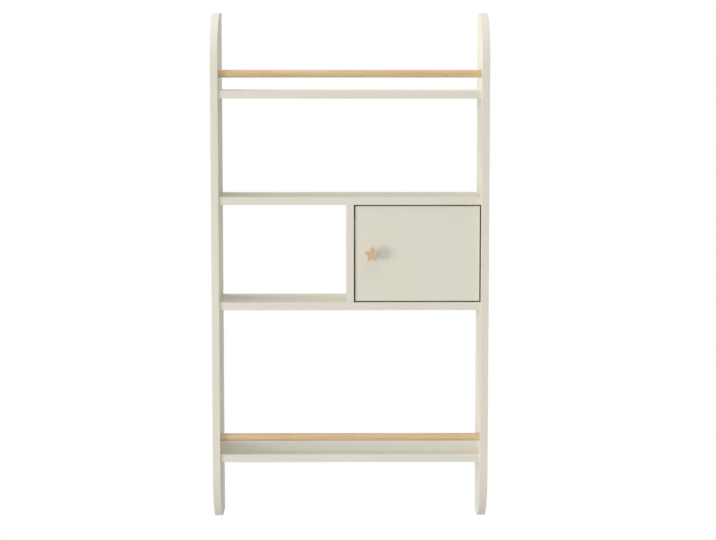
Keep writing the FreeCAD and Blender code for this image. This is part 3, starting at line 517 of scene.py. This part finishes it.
dowel_beech = sanded_beech("raw_beech_dowel", pale="#DCC49F", warm="#CBAA7C", pore="#A58157",
                           along=X_AXIS, pith_mm=(0, -300, -200), smoothest=RAW_ROUGHNESS)
low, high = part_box("shelf_dowels")
dowels("shelf_dowels", dowel_beech, RIGHT, [
    (x, y, z) for x in (low.x, high.x - DOWEL_LENGTH) for y in (low.y + DOWEL_RADIUS, high.y - DOWEL_RADIUS)
    for z in shelf_middles
])
upright_beech = sanded_beech("raw_beech_upright_dowel", pale="#DCC49F", warm="#CBAA7C", pore="#A58157",
                             along=Z_AXIS, pith_mm=(60, -200, 0), smoothest=RAW_ROUGHNESS)
low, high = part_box("divider_dowels")
dowels("divider_dowels", upright_beech, UP, [
    ((low.x + high.x) / 2, y, z) for y in (low.y + DOWEL_RADIUS, high.y - DOWEL_RADIUS)
    for z in (low.z, high.z - DOWEL_LENGTH)
])

# Floor
# A plain pale floor, well below the shelf, which hangs on a wall. It fades out to the white of the
# background towards its rim.

FLOOR_DROP, FLOOR_RADIUS = 0.9, 3.0


def in_sight(tree):
    """1 for what the camera sees, straight or by way of metal and glass, and 0 for light on matt pieces."""
    straight = add(tree, "LightPath", out="Is Camera Ray")
    by_metal = add(tree, "LightPath", out="Is Glossy Ray")
    by_glass = add(tree, "LightPath", out="Is Transmission Ray")
    seen = add(tree, "Math", {0: straight, 1: by_metal}, operation="MAXIMUM")
    return add(tree, "Math", {0: seen, 1: by_glass}, operation="MAXIMUM")


def matt_floor(name, body, shade, radius):
    """Matt paint, a little cloudy, which fades to white towards the rim for what the camera sees, and still
    lights the shelf as paint. It is clear from below, so that the shelves' undersides can be looked at."""
    material, tree, place = new_material(name)
    cloud_mm, fade_start, fade_end = 400, 0.2 * radius, 0.97 * radius
    cloud = add(tree, "TexNoise", {"Vector": place, "Scale": per_metre(cloud_mm), "Detail": 2.0})
    tone = add(tree, "MapRange", {"Value": cloud, **NOISE_SPAN})
    matt = add(tree, "BsdfPrincipled", {
        "Base Color": add(tree, "Mix", {"Factor": tone, "A": body, "B": shade}, data_type="RGBA"),
        "Roughness": 0.9,
    })
    flat_place = add(tree, "VectorMath", {0: place, 1: (1, 1, 0)}, operation="MULTIPLY")
    distance = add(tree, "VectorMath", {0: flat_place}, operation="LENGTH")
    fade = add(tree, "MapRange", {"Value": distance, "From Min": fade_start, "From Max": fade_end},
               interpolation_type="SMOOTHSTEP")
    seen = add(tree, "Math", {0: fade, 1: in_sight(tree)}, operation="MULTIPLY")
    white = add(tree, "Emission", {"Color": "#FFFFFF", "Strength": 1.0})
    above = add(tree, "MixShader", {0: seen, 1: matt, 2: white})
    below = add(tree, "NewGeometry", out="Backfacing")
    one_sided = add(tree, "MixShader", {0: below, 1: above, 2: add(tree, "BsdfTransparent")})
    add(tree, "OutputMaterial", {"Surface": one_sided})
    return material


def disc(height, radius):
    """Points of a flat disc's rim at even angles, and the one face that they bound."""
    angle = np.linspace(0, 2 * math.pi, COLUMNS, endpoint=False)
    rim = np.stack([radius * np.cos(angle), radius * np.sin(angle), np.full_like(angle, height)], axis=-1)
    return rim.tolist(), [list(range(COLUMNS))]


rim, face = disc(cad_box[0].z - FLOOR_DROP, FLOOR_RADIUS)
floor_mesh = bpy.data.meshes.new("floor")
floor_mesh.from_pydata(rim, [], face)
floor_mesh.materials.append(matt_floor("matt_pale_floor", "#CFCDC9", "#CBC9C5", FLOOR_RADIUS))
floor = bpy.data.objects.new("floor", floor_mesh)
bpy.context.scene.collection.objects.link(floor)

# Light
# Soft square lamps: a strong one at the left, two broad ones overhead, and weak ones in front, at the right
# and behind. The surround is white, and gives a weak even light of its own.

shelf_middle = (cad_box[0] + cad_box[1]) / 2


def soft_lamp(name, place, side, watts):
    """A square lamp at a place, facing the middle of the shelf."""
    data = bpy.data.lights.new(name, "AREA")
    data.shape = "SQUARE"
    data.size = side
    data.energy = watts
    lamp = bpy.data.objects.new(name, data)
    lamp.location = place
    lamp.rotation_euler = (shelf_middle - lamp.location).to_track_quat("-Z", "Y").to_euler()
    bpy.context.scene.collection.objects.link(lamp)


soft_lamp("key_lamp", place=(-5.8, -3.9, -0.4), side=2.4, watts=192)
soft_lamp("front_lamp", place=(-1.5, -6.7, 0.0), side=4.0, watts=69)
soft_lamp("overhead_lamp", place=(0.0, -1.2, 6.3), side=7.0, watts=184)
soft_lamp("upper_left_lamp", place=(-4.5, 1.8, 4.6), side=6.0, watts=194)
soft_lamp("right_lamp", place=(7.0, -0.1, -0.4), side=1.6, watts=36)
soft_lamp("back_lamp", place=(0.0, 6.9, -1.6), side=1.6, watts=18)

AMBIENT = 0.37
world = bpy.data.worlds.new("white_surround")
world.use_nodes = True
tree = world.node_tree
tree.nodes.clear()
strength = add(tree, "MapRange", {"Value": in_sight(tree), "To Min": AMBIENT, "To Max": 1.0})
background = add(tree, "Background", {"Color": "#FFFFFF", "Strength": strength})
add(tree, "OutputWorld", {"Surface": background})
bpy.context.scene.world = world

# Camera
# It stands in front of the shelf at the height of the hangers, with a long lens, and looks down a little at
# the shelf's middle.

CAMERA_PLACE = (-0.0194, -4.1222, 0.0154)
TILT_DOWN_DEGREES, TURN_RIGHT_DEGREES = 6.198, 0.501
SENSOR_MM, LENS_MM = 36, 103.683
camera_data = bpy.data.cameras.new("camera")
camera_data.sensor_width = SENSOR_MM
camera_data.lens = LENS_MM
camera = bpy.data.objects.new("camera", camera_data)
camera.location = CAMERA_PLACE
camera.rotation_euler = (math.radians(90 - TILT_DOWN_DEGREES), 0, math.radians(-TURN_RIGHT_DEGREES))
bpy.context.scene.collection.objects.link(camera)
bpy.context.scene.camera = camera
bpy.context.scene.view_settings.view_transform = "Standard"
